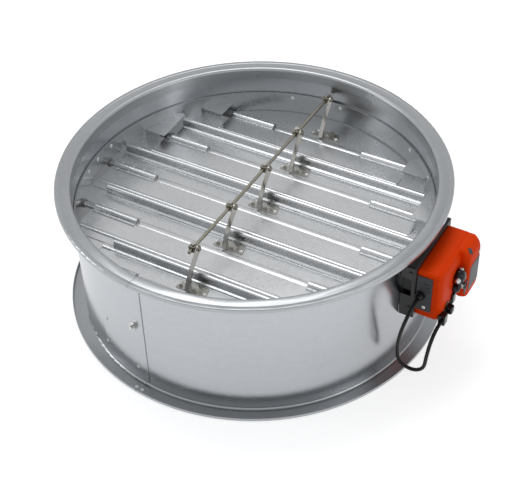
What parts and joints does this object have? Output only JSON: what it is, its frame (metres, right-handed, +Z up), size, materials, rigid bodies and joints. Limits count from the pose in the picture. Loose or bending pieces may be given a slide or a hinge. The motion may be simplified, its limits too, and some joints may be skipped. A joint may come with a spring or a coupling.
{
  "type": "motorized round damper",
  "caption": "Round duct damper: flanged casing, parallel louvre blades with a rod linkage, and a side-mounted rotary actuator with a cable loop.",
  "frame": {"origin": "on the casing axis, in the plane of the bottom flange's underside", "axes": "+Z up the duct axis, +X along the blade shafts to the actuator, +Y along the linkage rod"},
  "size_m": [0.7424, 0.686, 0.258],
  "materials": {
    "galvanised_casing": "galvanised sheet, satin",
    "galvanised_frame": "galvanised sheet, satin",
    "galvanised_blade": "galvanised sheet, bright",
    "zinc_fastener": "zinc plated",
    "plated_link": "yellow zinc plated",
    "shaft_steel": "bright drawn",
    "bushing_plastic": "satin",
    "black_bracket": "black coated",
    "orange_housing": "moulded, satin",
    "charcoal_plate": "moulded, matt",
    "slate_label": "film, satin",
    "black_plastic": "moulded, gloss",
    "brown_strap": "moulded, satin",
    "cable_black": "smooth sheath"
  },
  "bodies": {
    "casing": {"casing_shell": "galvanised_casing", "flange_ring_top": "galvanised_casing", "flange_ring_bottom": "galvanised_casing", "blade_frame_ring": "galvanised_frame", "corner_1_right": "galvanised_frame", "corner_1_left": "galvanised_frame", "corner_2_right": "galvanised_frame", "corner_2_left": "galvanised_frame", "corner_4_right": "galvanised_frame", "corner_4_left": "galvanised_frame", "corner_5_right": "galvanised_frame", "corner_5_left": "galvanised_frame", "seam_strap": "galvanised_casing", "casing_rivets": "zinc_fastener", "casing_bolt": "zinc_fastener", "shaft_bushings": "bushing_plastic", "actuator_bracket": "black_bracket", "actuator_base": "orange_housing", "actuator_cover": "orange_housing", "label_plate": "slate_label", "end_plate": "charcoal_plate", "cable_gland": "black_plastic", "end_stop_upper": "black_plastic", "end_stop_lower": "black_plastic", "tie_strap": "brown_strap", "cable_connector": "black_plastic", "actuator_screws": "zinc_fastener", "cable": "cable_black"},
    "blade_1": {"blade_1_panel": "galvanised_blade", "blade_1_sleeves": "galvanised_blade", "blade_1_shafts": "shaft_steel", "blade_1_rivets": "zinc_fastener", "blade_1_crank": "galvanised_blade"},
    "blade_2": {"blade_2_panel": "galvanised_blade", "blade_2_sleeves": "galvanised_blade", "blade_2_shafts": "shaft_steel", "blade_2_rivets": "zinc_fastener", "blade_2_crank": "galvanised_blade"},
    "blade_3": {"blade_3_panel": "galvanised_blade", "blade_3_sleeves": "galvanised_blade", "blade_3_shafts": "shaft_steel", "blade_3_rivets": "zinc_fastener", "blade_3_crank": "galvanised_blade", "shaft_clamp": "black_plastic", "clamp_nuts": "zinc_fastener", "position_pointer": "shaft_steel"},
    "blade_4": {"blade_4_panel": "galvanised_blade", "blade_4_sleeves": "galvanised_blade", "blade_4_shafts": "shaft_steel", "blade_4_rivets": "zinc_fastener", "blade_4_crank": "galvanised_blade"},
    "blade_5": {"blade_5_panel": "galvanised_blade", "blade_5_sleeves": "galvanised_blade", "blade_5_shafts": "shaft_steel", "blade_5_rivets": "zinc_fastener", "blade_5_crank": "galvanised_blade"},
    "linkage": {"linkage_rod": "plated_link", "swivel_blocks": "plated_link", "block_screws": "zinc_fastener"},
    "button": {"push_button": "black_plastic"}
  },
  "joints": [
    {"name": "blade_1_turn", "type": "hinge", "parent": "casing", "child": "blade_1", "pos_m": [0, 0.24, 0.162], "axis": [1, 0, 0], "range_deg": [0, 90]},
    {"name": "blade_2_turn", "type": "hinge", "parent": "casing", "child": "blade_2", "pos_m": [0, 0.12, 0.162], "axis": [1, 0, 0], "range_deg": [0, 90]},
    {"name": "blade_3_turn", "type": "hinge", "parent": "casing", "child": "blade_3", "pos_m": [0, 0, 0.162], "axis": [1, 0, 0], "range_deg": [0, 90]},
    {"name": "blade_4_turn", "type": "hinge", "parent": "casing", "child": "blade_4", "pos_m": [0, -0.12, 0.162], "axis": [1, 0, 0], "range_deg": [0, 90]},
    {"name": "blade_5_turn", "type": "hinge", "parent": "casing", "child": "blade_5", "pos_m": [0, -0.24, 0.162], "axis": [1, 0, 0], "range_deg": [0, 90]},
    {"name": "linkage_swing", "type": "hinge", "parent": "blade_3", "child": "linkage", "pos_m": [-0.0105, 0.056, 0.22], "axis": [1, 0, 0], "range_deg": [-90, 0]},
    {"name": "button_press", "type": "slide", "parent": "casing", "child": "button", "axis": [-0.8, 0, -0.6], "range_m": [0, 0.002], "stiffness_N_per_m": 900, "springref_m": -0.0005}
  ],
  "couplings": [
    {"joint": "blade_1_turn", "follows": "blade_3_turn", "ratio": 1},
    {"joint": "blade_2_turn", "follows": "blade_3_turn", "ratio": 1},
    {"joint": "blade_4_turn", "follows": "blade_3_turn", "ratio": 1},
    {"joint": "blade_5_turn", "follows": "blade_3_turn", "ratio": 1},
    {"joint": "linkage_swing", "follows": "blade_3_turn", "ratio": -1}
  ]
}
